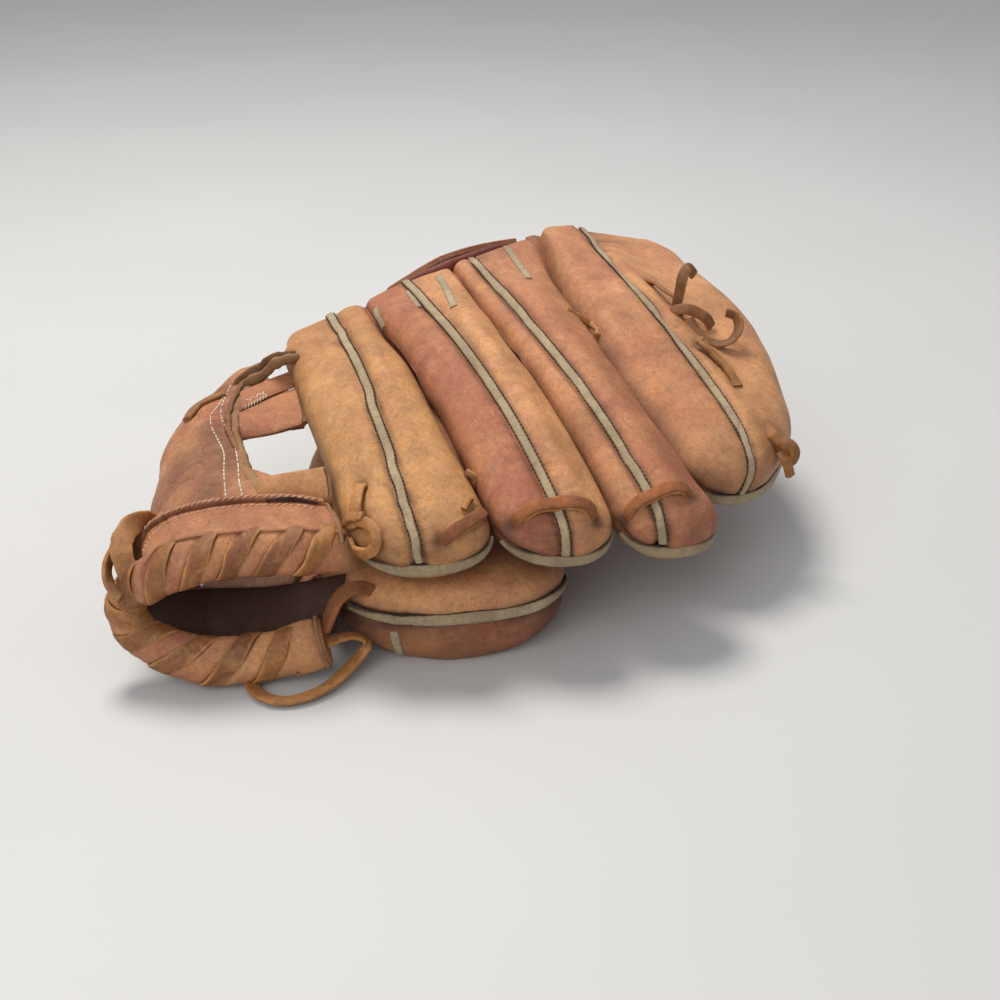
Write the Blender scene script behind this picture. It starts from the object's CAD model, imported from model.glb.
"""A worn leather baseball glove for the left hand, lying palm down and folded shut.

Lengths are worked out in millimetres in the glove's own axes, as in the solids: X across the
fingers, Y to the wrist, Z up. MOVE takes them to the frame's, and the meshes are in metres.
"""
import math
import bmesh
import bpy
import numpy as np
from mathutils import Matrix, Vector
from mathutils.bvhtree import BVHTree


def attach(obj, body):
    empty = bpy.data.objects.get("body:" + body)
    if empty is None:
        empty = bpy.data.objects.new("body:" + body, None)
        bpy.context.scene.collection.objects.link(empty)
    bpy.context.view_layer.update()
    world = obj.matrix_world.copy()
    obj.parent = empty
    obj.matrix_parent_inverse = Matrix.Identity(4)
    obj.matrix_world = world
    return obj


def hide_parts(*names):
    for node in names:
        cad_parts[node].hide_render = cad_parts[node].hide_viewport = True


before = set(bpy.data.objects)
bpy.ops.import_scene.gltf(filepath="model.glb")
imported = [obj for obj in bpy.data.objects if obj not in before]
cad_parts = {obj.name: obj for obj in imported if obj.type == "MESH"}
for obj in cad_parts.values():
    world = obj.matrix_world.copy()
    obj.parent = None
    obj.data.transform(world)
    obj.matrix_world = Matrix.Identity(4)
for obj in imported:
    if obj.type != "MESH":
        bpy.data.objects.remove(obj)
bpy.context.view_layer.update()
MOVE = np.array([-15.7018, -111.7502, 0.0])

# Camera, at the photograph's angle
LENS, SENSOR, IMAGE = 52.2, 36.0, 1000
EYE = Vector((-0.2015, -0.57175, 0.3291))
HEADING, TILT = (0.3746, 0.9272), math.radians(27)
AIM = Vector((HEADING[0] * math.cos(TILT), HEADING[1] * math.cos(TILT), -math.sin(TILT)))
TURN = AIM.to_track_quat("-Z", "Y")
camera = bpy.data.objects.new("camera", bpy.data.cameras.new("camera"))
camera.data.lens, camera.data.sensor_width = LENS, SENSOR
camera.data.clip_start = 0.05
camera.location, camera.rotation_euler = EYE, TURN.to_euler()
bpy.context.collection.objects.link(camera)
bpy.context.scene.camera = camera

# The solids' sizes, in millimetres
SPAN, REACH, CREST = 220, 230, 110
STALL_WALL, LEATHER, PANEL = 5.5, 3, 4.4
SEAM_GAP, FIT_GAP = 0.7, 0.35
LACE_WIDTH, LACE_THICK = 5.2, 2.0
BAR_WIDTH, BAR_THICK, BAR_TURNS = 19, 11, 11
BINDING_WIDTH, BINDING_THICK, BINDING_RISE = 4, 7, 20
STRAP_WIDTH, STRAP_SLIT, STRAP_DROP = 24, 7, 20
HEEL_THICK, HEEL_TALL = 18, 45
FINGERS_PART, TIP_POWER = 0.42, 2.4

# Seams between the stalls, from the wrist to the tip: shares of SPAN, REACH and CREST
SEAMS = [
    ([-.173, -.205, -.223, -.232, -.227], [.740, .505, .315, .165, .043],
     [.625, .635, .570, .491, .427]),
    ([.014, .009, .009, .009, .009], [.710, .460, .262, .104, -.013],
     [.775, .760, .670, .564, .455]),
    ([.200, .205, .218, .223, .223], [.717, .435, .209, .061, -.057],
     [.882, .800, .691, .564, .436]),
    ([.400, .385, .400, .427, .459], [.804, .487, .261, .096, -.043],
     [.900, .782, .645, .509, .382]),
    ([.800, .809, .805, .778, .714], [.965, .717, .500, .296, .104],
     [.564, .564, .500, .400, .309]),
]
THUMB_SEAMS = [
    ([-.091, -.170, -.232, -.264, -.241], [.826, .652, .456, .239, .052],
     [.250, .265, .265, .240, .215]),
    ([.182, .200, .200, .191, .159], [.826, .600, .420, .215, -.020],
     [.210, .190, .190, .200, .225]),
]
STALLS = [
    dict(name="index", tip=.985, round=.17, welt=(.28, -.28), top=(20, 14), under=(24, 12)),
    dict(name="middle", tip=1, round=.16, welt=(-.05, -.05), top=(20, 14), under=(24, 12)),
    dict(name="ring", tip=1, round=.16, welt=(-.55, -.4), top=(20, 14), under=(24, 12)),
    dict(name="little", tip=.88, round=.19, welt=(-.41, -.31), top=(30, 21), under=(30, 14)),
]
THUMB = dict(name="thumb", tip=1, round=.15, welt=(0, 0), top=(13, 15), under=(30, 30))


# Curves and surfaces
def unit(v):
    return v / np.maximum(np.linalg.norm(v, axis=-1, keepdims=True), 1e-9)


def mix(a, b, t):
    return a + (b - a) * t


def smooth(t):
    t = np.clip(t, 0, 1)
    return t * t * (3 - 2 * t)


def bell(x, width):
    return np.exp(-(np.asarray(x) / width) ** 2)


def signed_power(x, power):
    return np.sign(x) * np.abs(x) ** power


def in_mm(point):
    """A place in the glove's millimetres, from the frame's metres."""
    return np.array(point) * 1000 - MOVE


def in_metres(points):
    return (np.asarray(points) + MOVE) / 1000


def pick(table, rows):
    """For each place in the later axes, the table's row of that number."""
    return np.take_along_axis(table, rows[None, ..., None], 0)[0]


def with_ends(points):
    """The points with one more at each end, straight on."""
    return np.concatenate([2 * points[:1] - points[1:2], points, 2 * points[-1:] - points[-2:-1]])


def catmull_rom(control, spans, t):
    """A uniform Catmull-Rom curve at t from 0 to 1. control gives its controls by number."""
    t = t * spans
    i = np.clip(t.astype(int), 0, spans - 1)
    f = (t - i)[..., None]
    a, b, c, d = (control(i + k) for k in range(4))
    t0, t1 = (c - a) / 2, (d - b) / 2
    return b + t0 * f + (3 * (c - b) - 2 * t0 - t1) * f ** 2 + (2 * (b - c) + t0 + t1) * f ** 3


def spline(points):
    """A curve through the points, straight on beyond its ends."""
    p = with_ends(np.asarray(points, float))

    def inside(t):
        return catmull_rom(lambda k: p[k], len(p) - 3, t)

    def at(t):
        t = np.asarray(t, float)
        c = np.clip(t, 0, 1)
        point, near = inside(c), inside(np.where(c > 0.5, 0.98, 0.02))
        return point + (point - near) * (np.abs(t - c) / 0.02)[..., None]
    return at


def through(controls, t):
    """The point at t on a curve through the controls, one curve to each t."""
    p = with_ends(controls)
    return catmull_rom(lambda k: pick(p, k), len(controls) - 1, np.clip(t, 0, 1))


def place(across, along, up):
    return np.stack([across, along, up], axis=-1) * [SPAN, REACH, CREST]


def tangents(points):
    return unit(np.gradient(points, axis=0))


class Layout:
    """The space round a row of stalls: s along, q across with one unit a stall, v out of the back."""

    def __init__(self, rows):
        self.curves = [spline(place(*row)) for row in rows]
        self.last = len(rows) - 1

    def edges(self, s):
        return np.stack([c(s) for c in self.curves])

    def normals(self, s):
        e, before, after = self.edges(s), self.edges(s - 0.03), self.edges(s + 0.03)
        ahead = (before[:-1] + before[1:] - after[:-1] - after[1:]) / 2
        facing = unit(np.cross(e[1:] - e[:-1], ahead))
        return unit(np.concatenate([facing[:1], facing]) + np.concatenate([facing, facing[-1:]]))

    def at(self, s, q, v):
        s, q, v = np.broadcast_arrays(*(np.asarray(x, float) for x in (s, q, v)))
        i = np.clip(np.floor(q), 0, self.last - 1).astype(int)
        e, n = self.edges(s), self.normals(s)
        f = (q - i)[..., None]
        out = unit(mix(pick(n, i), pick(n, i + 1), np.clip(f, 0, 1)))
        return mix(pick(e, i), pick(e, i + 1), f) + out * v[..., None]

    def width(self, s, i):
        e = self.edges(np.asarray(s, float))
        return np.linalg.norm(e[i + 1] - e[i], axis=-1)


back = Layout(SEAMS)
thumb = Layout(THUMB_SEAMS)

LATTICE_SIDE = 32
LATTICE = np.random.default_rng(11).uniform(-1, 1, (LATTICE_SIDE,) * 3)


def noise(points, size, seed=0):
    """Smooth noise from -1 to 1, with lumps of that size in millimetres."""
    x = np.asarray(points, float) / size + seed * 7.31
    i = np.floor(x).astype(int)
    f = smooth(x - i)
    total = 0
    for corner in np.ndindex(2, 2, 2):
        w = np.prod(np.where(np.array(corner), f, 1 - f), axis=-1)
        j = (i + corner) % LATTICE_SIDE
        total = total + w * LATTICE[j[..., 0], j[..., 1], j[..., 2]]
    return total


def line_noise(x, size, seed=0):
    x = np.asarray(x, float)
    return noise(np.stack([x, np.full_like(x, 3.7), np.full_like(x, 9.1)], axis=-1), size, seed)


def wrinkles(points, stretch, size, seed, sharp):
    """Thin lines from 0 to 1, where noise over the stretched points passes zero."""
    return np.clip(1 - np.abs(noise(points * stretch, size, seed)) * sharp, 0, 1) ** 2


# Meshes
def grid_faces(rows, columns, wrap):
    r, c = np.meshgrid(np.arange(rows - 1), np.arange(columns if wrap else columns - 1),
                       indexing="ij")
    a, b = r * columns + c, r * columns + (c + 1) % columns
    return np.stack([a, b, b + columns, a + columns], axis=-1).reshape(-1, 4)


def tube_faces(rows, columns, caps=True):
    """The faces between rings of points, with a flat face on each end."""
    faces = grid_faces(rows, columns, True).tolist()
    if caps:
        faces += [list(range(columns))[::-1], list(range((rows - 1) * columns, rows * columns))]
    return faces


def make(name, points, faces, values, material):
    """A smooth mesh object from points in millimetres, with a number per point for each value."""
    mesh = bpy.data.meshes.new(name)
    verts = in_metres(np.asarray(points).reshape(-1, 3))
    mesh.from_pydata(verts.tolist(), [], [list(f) for f in faces])
    for key, value in values.items():
        layer = mesh.attributes.new(key, "FLOAT", "POINT")
        value = np.asarray(value, np.float32)
        layer.data.foreach_set("value", value.reshape(-1) if value.ndim else np.full(len(verts), value))
    obj = bpy.data.objects.new(name, mesh)
    bpy.context.collection.objects.link(obj)
    mesh.materials.append(material)
    tidy_mesh(obj)
    return obj


def tidy_mesh(obj, merge=0.0, sharp=math.radians(55)):
    """Faces outward, smooth, with sharp edges where faces meet steeply."""
    bm = bmesh.new()
    bm.from_mesh(obj.data)
    if merge:
        bmesh.ops.remove_doubles(bm, verts=bm.verts, dist=merge)
    bmesh.ops.recalc_face_normals(bm, faces=bm.faces)
    for face in bm.faces:
        face.smooth = True
    for edge in bm.edges:
        edge.smooth = edge.calc_face_angle(0) < sharp
    bm.to_mesh(obj.data)
    bm.free()


def loft(name, rings, values, material, caps=True):
    """A skin over rings of points."""
    return make(name, rings, tube_faces(*rings.shape[:2], caps), values, material)


def finish(obj, *nodes, padded=None):
    """Rides the piece on the glove, in its material's slot, for the solids that it stands for."""
    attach(obj, "root")
    if nodes:
        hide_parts(*nodes)
    return obj


def surface_of(*names):
    """A tree of the pieces' faces, to set other pieces on."""
    verts, faces = [], []
    for name in names:
        mesh = bpy.data.objects[name].data
        mesh.calc_loop_triangles()
        faces += [[k + len(verts) for k in t.vertices] for t in mesh.loop_triangles]
        verts += [v.co.copy() for v in mesh.vertices]
    return BVHTree.FromPolygons(verts, faces)


def put_on_floor(points, floor=0.0):
    points[..., 2] = np.maximum(points[..., 2], floor)
    return points


def lift_to_floor(obj):
    for v in obj.data.vertices:
        v.co.z = max(v.co.z, 0.0)


def angles(around):
    return 2 * np.pi * (np.arange(around) + 0.5) / around


def tube_grid(span, rows, around):
    """Where along a span and at what angle each point of a tube lies."""
    return np.linspace(*span, rows)[:, None] + np.zeros(around), angles(around) + np.zeros((rows, 1))


# Materials
def srgb(r, g, b):
    return tuple(((c / 255 + 0.055) / 1.055) ** 2.4 if c > 10 else c / 3294 for c in (r, g, b)) \
        + (1.0,)


def nodes_of(material):
    """A function that adds nodes to the material, with their inputs set or linked."""
    material.use_nodes = True
    tree = material.node_tree
    tree.nodes.clear()

    def add(kind, inputs=None, **settings):
        node = tree.nodes.new("ShaderNode" + kind)
        for key, value in settings.items():
            setattr(node, key, value)
        for key, value in (inputs or {}).items():
            if isinstance(value, bpy.types.NodeSocket):
                tree.links.new(value, node.inputs[key])
            else:
                node.inputs[key].default_value = value
        return node
    return add


# A Mix node's sockets by number: its factor, then A, B and the result as vectors and as colours
MIX_FACTOR = 0
MIX_VECTOR_A, MIX_VECTOR = 4, 1
MIX_COLOUR_A, MIX_COLOUR_B, MIX_COLOUR = 6, 7, 2


def leather(name, pale, deep, grime, rough=(0.42, 0.62), grain=0.25, cell=1.0, fuzz=0.0,
            worn=None, mottle=0.5, sheen=0.0):
    """Leather with a pebble grain. tone goes from pale to deep, dirt darkens the seams, and worn
    shows on what stands proud. Scales are in lumps to a metre, and cell is a pebble in millimetres."""
    material = bpy.data.materials.new(name)
    add = nodes_of(material)
    pale, deep, grime = srgb(*pale), srgb(*deep), srgb(*grime)
    where = add("TexCoord").outputs["Object"]

    def texture(scale, detail=3.0, roughness=0.55, distortion=0.0):
        return add("TexNoise", {"Vector": where, "Scale": scale, "Detail": detail,
                                "Roughness": roughness, "Distortion": distortion}).outputs["Fac"]

    def number(kind, a, b, clamp=False):
        return add("Math", {0: a, 1: b}, operation=kind, use_clamp=clamp).outputs[0]

    def span(value, low, high, to_low=0.0, to_high=1.0):
        return add("MapRange", {"Value": value, "From Min": low, "From Max": high,
                                "To Min": to_low, "To Max": to_high}).outputs["Result"]

    def blend(fac, a, b):
        return add("Mix", {MIX_FACTOR: fac, MIX_COLOUR_A: a, MIX_COLOUR_B: b},
                   data_type="RGBA").outputs[MIX_COLOUR]

    def attribute(key):
        return add("Attribute", attribute_name=key).outputs["Fac"]

    tone = number("ADD", attribute("tone"), span(texture(38, 3), 0.3, 0.7, -0.28, 0.28), True)
    colour = blend(tone, pale, deep)
    blotch = span(texture(95, 5, 0.65, 0.4), 0.35, 0.72)
    colour = blend(number("MULTIPLY", blotch, mottle * 0.45), colour, grime)
    fleck = span(texture(520, 4, 0.7), 0.56, 0.76)
    colour = blend(number("MULTIPLY", fleck, mottle * 0.6), colour, grime)
    speck = number("ADD", span(texture(1300, 2, 0.6), 0.3, 0.7, -0.17, 0.17),
                   span(texture(430, 3, 0.6), 0.3, 0.7, -0.13, 0.13))
    cloud = span(texture(22, 2), 0.3, 0.7, -0.07, 0.07)
    colour = add("HueSaturation", {"Color": colour, "Value": number(
        "ADD", speck, number("ADD", cloud, 1.0))}).outputs[0]
    if worn:
        worn = srgb(*worn)
        scuff = number("MULTIPLY", span(texture(70, 6, 0.7, 1.2), 0.52, 0.72), attribute("proud"),
                       True)
        colour = blend(number("MULTIPLY", scuff, 0.55), colour, worn)
        stretch = add("Mapping", {"Vector": where, "Scale": (1, 0.22, 0.5)})
        streak = add("TexNoise", {"Vector": stretch.outputs[0], "Scale": 420, "Detail": 3})
        colour = blend(span(streak.outputs["Fac"], 0.66, 0.76, 0, 0.3), colour, worn)
    grubby = span(texture(160, 4), 0.25, 0.6, 0.75, 1.0)
    colour = blend(number("MULTIPLY", attribute("dirt"), grubby, True), colour, grime)

    # Pebbles laid out over a coarse noise's colours, so that they crowd and stretch with it
    warp = add("TexNoise", {"Vector": where, "Scale": 300}).outputs["Color"]
    laid = add("Mix", {MIX_FACTOR: 0.0008, MIX_VECTOR_A: warp}, data_type="VECTOR")
    cells = add("TexVoronoi", {"Vector": laid.outputs[MIX_VECTOR], "Scale": 1000 / cell,
                               "Smoothness": 0.6}, feature="SMOOTH_F1")
    grains = number("MULTIPLY", cells.outputs["Distance"], grain)
    fine = number("MULTIPLY", texture(1500, 3), grain * 0.6)
    wrinkle = number("MULTIPLY", texture(210, 4, 0.6, 1.5), 0.9)
    pile = number("MULTIPLY", texture(900, 5, 0.75), fuzz)
    height = number("ADD", number("ADD", grains, fine), number("ADD", wrinkle, pile))
    bump = add("Bump", {"Height": height, "Strength": 0.55, "Distance": 0.0006})
    patchy = span(texture(130, 4, 0.6), 0.3, 0.7, *rough)
    shader = add("BsdfPrincipled", {
        "Base Color": colour, "Normal": bump.outputs[0], "Specular IOR Level": 0.42,
        "Roughness": number("ADD", patchy, number("MULTIPLY", attribute("dirt"), 0.15), True),
        "Sheen Weight": sheen, "Sheen Roughness": 0.5})
    add("OutputMaterial", {"Surface": shader.outputs[0]})
    return material


GRIME, LACE_GRIME = (86, 50, 32), (70, 40, 22)
TAN = leather("tan_leather", (202, 146, 88), (170, 110, 66), GRIME, worn=(218, 174, 120), mottle=0.8)
BROWN = leather("brown_leather", (206, 146, 94), (166, 98, 68), GRIME, worn=(214, 166, 120),
                mottle=0.7)
PALM = leather("palm_leather", (176, 112, 76), (146, 84, 58), (72, 42, 28), (0.5, 0.72),
               worn=(190, 140, 104))
WELT = leather("welt", (186, 166, 130), (154, 131, 99), (96, 74, 52), (0.7, 0.9), grain=0.15,
               fuzz=1.0, mottle=0.9, sheen=0.15)
LACE = leather("lace", (188, 128, 68), (138, 82, 44), LACE_GRIME, (0.4, 0.62), grain=0.12, cell=0.7,
               worn=(208, 158, 96), mottle=1.0)
ROUGH_LACE = leather("rough_lace", (184, 112, 60), (134, 78, 42), LACE_GRIME, (0.6, 0.85),
                     grain=0.3, fuzz=2.0, mottle=1.3)
BINDING = leather("binding", (136, 62, 46), (104, 42, 32), (48, 20, 16), (0.4, 0.58), grain=0.15,
                  cell=0.8, worn=(160, 88, 66))
SUEDE = leather("suede_edge", (184, 142, 98), (146, 102, 66), (84, 52, 32), (0.75, 0.95), grain=0.1,
                fuzz=1.4, mottle=1.0)
LINING = leather("lining", (168, 128, 92), (140, 100, 70), (74, 50, 34), (0.7, 0.9), grain=0.2,
                 fuzz=0.8, mottle=0.9)
POCKET = leather("pocket_leather", (104, 66, 48), (74, 44, 32), (36, 22, 16), (0.6, 0.8))
INNER = leather("inner_leather", (222, 168, 136), (190, 138, 108), (90, 58, 42), (0.6, 0.8))
SEAM_THREAD = leather("seam_thread", (216, 172, 134), (186, 138, 102), (110, 74, 52), (0.6, 0.8),
                      grain=0.1, cell=0.5)
HOLE = leather("seam_holes", (92, 62, 42), (66, 42, 28), (40, 26, 18), (0.8, 0.95))
THREAD = leather("thread", (232, 222, 200), (214, 200, 172), (132, 104, 76), (0.6, 0.8), grain=0.1,
                 cell=0.5)


# Padded stalls
def squareness(s):
    """The power of a stall's rounded section: squarer at the wrist than at the tip."""
    s = np.asarray(s, float)
    return mix(3.6, 2.3, smooth(s / 0.6)) + 5 * (1 - smooth((s + 0.02) / 0.16))


def top_of(stall, s):
    return mix(*stall["top"], smooth(s))


def under_of(stall, s):
    return mix(*stall["under"], smooth(np.asarray(s) / 0.45))


def tip_share(s, stall):
    """How wide a stall still is at s, as a share, where its tip rounds off."""
    t = np.clip((np.asarray(s) - stall["tip"] + stall["round"]) / stall["round"], 0, 1)
    return (1 - t ** TIP_POWER) ** (1 / TIP_POWER)


def stall_point(layout, i, stall, s, u, w, wall=0.0, lift=0.0):
    """A point of a stall, with u across it and w out of its back, each from -1 to 1. wall is how
    far inside its skin that is."""
    share = tip_share(s, stall)
    thick = np.where(np.asarray(w) > 0, top_of(stall, s), under_of(stall, s))
    blunt = (0.25 + 0.75 * share) * np.sqrt(1 - (1 - np.clip(share / 0.3, 0, 1)) ** 2)
    reach = np.maximum(thick - wall, 1) * blunt
    half = np.maximum(0.5 - (SEAM_GAP / 2 + wall) / layout.width(s, i), 0.05)
    return layout.at(s, i + 0.5 + half * share * u, reach * w + lift)


def on_stall(layout, i, stall, s, u, lift=0.0):
    """A point on a stall's back."""
    power = squareness(s)
    w = np.maximum(1 - np.abs(u) ** power, 0) ** (1 / power)
    return stall_point(layout, i, stall, s, u, w, 0, lift)


def stations(stall, start, along, round_tip):
    """Stations from start to the tip, closer together where it rounds off."""
    bend = np.append(np.arange(1, round_tip), round_tip - 0.05) / round_tip * math.pi / 2
    shoulder = stall["tip"] - stall["round"]
    return np.concatenate([np.linspace(start, shoulder, along),
                           shoulder + stall["round"] * np.sin(bend) ** (2 / TIP_POWER)])


def section(s, around):
    """The u and w of the points round a stall's section."""
    power = 2 / squareness(s)[:, None]
    return signed_power(np.cos(angles(around)), power), signed_power(np.sin(angles(around)), power)


# Where laces go through the leather, by s and u
HOLES = {"index": [(.95, .14), (.83, .87), (.67, -.6), (.79, -.8)],
         "middle": [(.902, -.85), (.916, .65)], "ring": [(.89, -.95), (.874, .42)],
         "little": [(.215, -.11), (.46, -.2), (.61, -.02), (.84, .8)]}
# Swells in millimetres: a ridge beside the welt by height, distance and width, how far the left
# corner at the wrist draws in, and the right flank's swells by place along, reach and height
RIDGES = {"index": (.6, 9, 6), "middle": (2.2, 8.5, 6), "ring": (2.2, 11, 8), "little": (.4, 9, 6),
          "thumb": (0, 9, 6)}
CORNERS = {"index": 5, "little": 2}
FLANKS = {"little": [(.22, .32, 6.0), (.5, .17, 5.0)]}
# Leather tone at the wrist and the tip, on the left and the right of the welt, 0 ochre to 1 red
TONES = {"index": (.35, .15, .45, .2), "middle": (.8, .9, 0, .1), "ring": (.4, .55, .6, .8),
         "little": (.6, .15, .15, .1), "thumb": (.2, .1, .2, .15)}
PADDING = 0.8           # how full each padded piece is


def stall_skin(layout, i, stall, along=120, round_tip=44, around=112):
    """A stall's swollen and creased skin, and its tone, dirt and what stands proud."""
    name, is_thumb = stall["name"], layout is thumb
    has_welt = 0 if is_thumb else 1
    seed = i + (10 if is_thumb else 0)
    s = stations(stall, 0.0, along, round_tip)
    u, w = section(s, around)
    col, share = s[:, None], tip_share(s, stall)[:, None]
    base = stall_point(layout, i, stall, col, u, w)
    x = (u * share - mix(*stall["welt"], col)) * layout.width(s, i)[:, None] / 2
    z = w * top_of(stall, s)[:, None]
    over = smooth(w * 4)
    front = smooth((col - stall["tip"] + stall["round"] * 1.1) / (stall["round"] * 0.5))

    welt = has_welt * over * bell(x, 3.4) * mix(0.4, 1, smooth(col / 0.08))
    high, far, wide = RIDGES[name]
    ridge = high * over * bell(x - far, wide) * smooth(col / 0.2) * (1 - front)
    corner = bell(col, 0.04) * smooth((-u - 0.5) / 0.5) * CORNERS.get(name, 0)
    flank = smooth((u - 0.1) / 0.5) * sum(
        rise * bell(col - at, reach) for at, reach, rise in FLANKS.get(name, []))
    gather = line_noise(col * REACH + np.where(x < 0, -1.0, 1.0) * 71 + np.abs(x) * 0.35, 3.4, seed) \
        * over * bell(np.abs(x) - 5, 5)
    puff = noise(base, 34, seed) * 1.1 + noise(base, 15, seed + 3) * 0.5
    crease = wrinkles(base, [1, 0.45, 1], 17, seed + 5, 9) * smooth(noise(base, 25, seed + 6) * 2)
    crumple = wrinkles(base, [0.5, 1.4, 1], 12, seed + 8, 8) * smooth(noise(base, 22, seed + 7) * 2)
    pit = 0 * x
    for spot in HOLES.get(name, []):
        centre = on_stall(layout, i, stall, *np.array(spot))
        pit = np.maximum(pit, bell(np.linalg.norm(base - centre, axis=-1), 3.6))
    move = puff * (1 - 0.8 * welt) + ridge - corner + flank - 2.6 * welt \
        - 1.5 * (front * bell(z, 3.0)) + 0.4 * gather - 0.12 * crease - 0.15 * crumple
    move += over * bell(np.abs(x) - 8, 5) * has_welt
    move -= 1.6 * pit
    move *= smooth(np.minimum(share / 0.5, 1)) * 0.7 + 0.3
    padded = np.concatenate([base[:, -1:], base, base[:, :1]], axis=1)
    normal = unit(np.cross(padded[:, 2:] - padded[:, :-2], np.gradient(base, axis=0)))
    if np.sum(normal * (base - base.mean(axis=1, keepdims=True))) < 0:
        normal = -normal
    points = base + normal * move[..., None]

    a, b, c, d = TONES[name]
    tone = mix(mix(a, b, col), mix(c, d, col), smooth((x + 4) / 8)) \
        + (w < 0) * (0.5 if is_thumb else 0.12)
    tone = tone + 0.22 * noise(base, 26, seed + 20)
    groove = np.maximum(bell(np.abs(x) - 2.6, 1.1) * over * has_welt,
                        bell(np.abs(z) - 2.6, 1.1) * front)
    edge = smooth((np.abs(u) - 0.86) / 0.14)
    stain = np.clip(noise(base, 13, seed + 30) + 0.3 * noise(base, 5, seed + 31), 0, 1) * 0.3
    worn_tip = front * (0.06 if is_thumb else 0.3) * (0.7 + 0.5 * noise(base, 9, seed + 32))
    dirt = np.clip(groove * 0.6 + 0.25 * crease + 0.2 * crumple + pit * 0.8 + edge * 0.35 + stain
                   + worn_tip + (w < 0) * (0.3 if is_thumb else 0), 0, 1)
    proud = np.clip(0.4 + 0.5 * puff / 1.6 + 0.4 * front, 0, 1) * over
    return points, dict(tone=tone, dirt=dirt, proud=proud)


def apply_cut(obj, *cutters):
    for cutter in cutters:
        cut = obj.modifiers.new("cut", "BOOLEAN")
        cut.object, cut.operation, cut.solver = cutter, "DIFFERENCE", "MANIFOLD"
    bpy.context.view_layer.update()
    done = obj.evaluated_get(bpy.context.evaluated_depsgraph_get())
    done = bpy.data.meshes.new_from_object(done)
    obj.modifiers.clear()
    obj.data = done
    tidy_mesh(obj)


LINED = dict(tone=.5, dirt=.3, proud=0)


def hand_hollow():
    columns = np.linspace(0.2, back.last - 0.2, 25)
    rings = []
    for s in (-.15, 0, .15, .28, .36, FINGERS_PART):
        thin = 0.6 if s > 0.3 else 1
        up = (top_of(STALLS[0], s) - STALL_WALL) * 0.72 * thin
        down = (under_of(STALLS[0], s) - STALL_WALL) * 0.8 * thin
        rings.append(np.concatenate([back.at(s, columns, up), back.at(s, columns[::-1], -down)]))
    return loft("hand_hollow", np.array(rings), LINED, LINING)


def stall_hollow(layout, i, stall, floor):
    s = np.linspace(-0.08, stall["tip"] - STALL_WALL / REACH, 40)
    u, w = section(s, 36)
    rings = stall_point(layout, i, stall, s[:, None], u, w, STALL_WALL)
    return loft("stall_hollow", put_on_floor(rings, floor), LINED, LINING)


def padded_stall(layout, i, stall, material, node, cutters=(), floor=-np.inf):
    """A stall with its hollow cut out, and the tree of its faces."""
    points, values = stall_skin(layout, i, stall)
    piece = loft(stall["name"] + "_stall", put_on_floor(points, floor), values, material)
    hollow = stall_hollow(layout, i, stall, floor + STALL_WALL)
    apply_cut(piece, hollow, *cutters)
    bpy.data.objects.remove(hollow)
    finish(piece, node, padded=PADDING)
    return surface_of(piece.name)


surfaces = {}
palm_hollow = hand_hollow()
for i, stall in enumerate(STALLS):
    surfaces[stall["name"]] = padded_stall(back, i, stall, BROWN if i else TAN,
                                           stall["name"] + "_finger", [palm_hollow])
bpy.data.objects.remove(palm_hollow)
surfaces["thumb"] = padded_stall(thumb, 0, THUMB, BROWN, "thumb", floor=0.0)


# Strips: welts, laces and stitches
def distances(path):
    """How far along a line each of its points is."""
    return np.concatenate([[0], np.cumsum(np.linalg.norm(np.diff(path, axis=0), axis=1))])


def rows_at(at, run, table):
    """A table's rows at other distances than those at run."""
    return np.stack([np.interp(at, run, column) for column in table.T], axis=-1)


def spread(values, count):
    """Values spread evenly over that many points."""
    return np.interp(np.linspace(0, 1, count), np.linspace(0, 1, np.size(values)),
                     np.atleast_1d(values))


def from_ends(count):
    return np.minimum(np.arange(count), np.arange(count)[::-1])


def strip(name, path, side, out, width, thick, material, low=0.0, tone=0.5, dirt=0.1, around=16,
          rough=0.0, seed=0, taper=0.0, crown=0.15, edge_dirt=0.45, face_dirt=0.0,
          edge_tone=0.0):
    """A flat band along a path, with rounded edges. low is how far its underside is from the path,
    rough how uneven it is, crown how far its face rises, and taper how far in its ends are narrow."""
    n = len(path)
    x = signed_power(np.cos(angles(around)), 0.45)
    y = signed_power(np.sin(angles(around)), 0.6)
    wide = np.full(n, width / 2.0)
    run = distances(path)
    if rough:
        wide = wide * (1 + rough * line_noise(run, 4, seed) + rough * line_noise(run, 1.7, seed + 1))
        path = path + side * (rough * 0.9 * line_noise(run, 7, seed + 2))[:, None] \
            + out * (rough * 0.6 * line_noise(run, 5, seed + 3))[:, None]
    if taper:
        wide = wide * (1 - 0.6 * bell(np.minimum(run, run[-1] - run), taper))
    centre = path + out * (low + thick / 2)
    swell = thick / 2 * y + crown * thick * (1 - x ** 2) * (y > 0)
    rings = centre[:, None] + side[:, None] * (wide[:, None] * x)[..., None] \
        + out[:, None] * swell[:, None]
    edge = np.clip((np.abs(x) - 0.75) * 5, 0, 1)
    values = dict(tone=np.broadcast_to(tone, (n,))[:, None] + edge_tone * edge,
                  dirt=np.clip(np.broadcast_to(dirt, (n,))[:, None] + edge_dirt * edge
                               + face_dirt * (1 - edge) * (y > 0), 0, 1),
                  proud=np.broadcast_to((y > 0) * 0.8, (n, around)))
    return loft(name, rings, values, material)


def frame_along(path, outs):
    """The directions across a path and out of it, square to where it goes."""
    t = tangents(path)
    side = unit(np.cross(t, outs))
    return side, unit(np.cross(side, t))


# A stitch's rings: where along it each is, and its share of the thread's thickness
STITCH = [(-1, .35), (-.8, .85), (-.3, 1), (.3, 1), (.8, .85), (1, .35)]


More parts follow.
